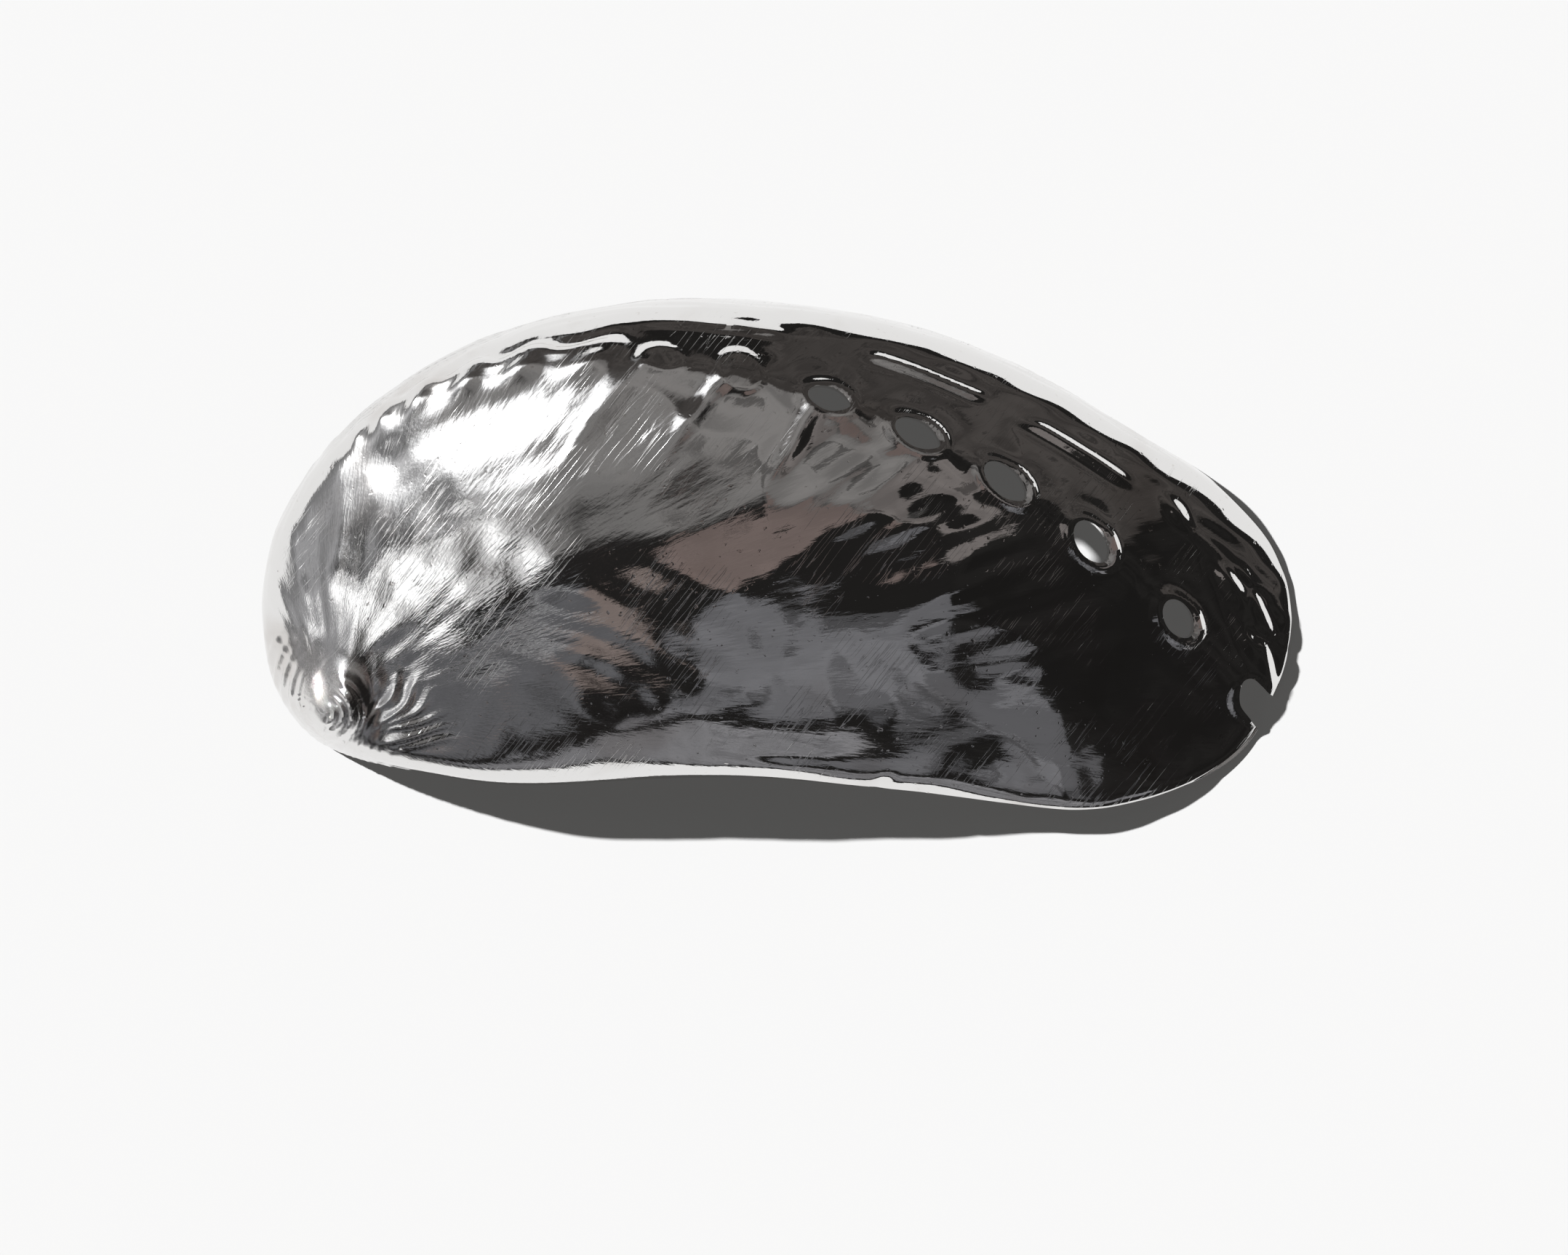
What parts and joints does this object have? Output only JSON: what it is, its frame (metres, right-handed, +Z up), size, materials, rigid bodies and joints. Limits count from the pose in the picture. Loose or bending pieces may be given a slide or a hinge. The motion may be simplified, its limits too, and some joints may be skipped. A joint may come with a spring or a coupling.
{
  "type": "abalone shell ornament",
  "caption": "Mirror-polished metal abalone shell: a long, thin, ear-shaped dome with a low spire, a curved row of open pores and a notched lip, open underneath.",
  "frame": {"origin": "middle of the box's underside, on the surface that the shell rests on", "axes": "+X from the spire end to the growing lip, +Y towards the pore row's side, +Z up out of the dome"},
  "size_m": [0.1, 0.0494, 0.0183],
  "materials": {
    "silver": "polished"
  },
  "bodies": {
    "root": {"shell": "silver"}
  },
  "joints": []
}
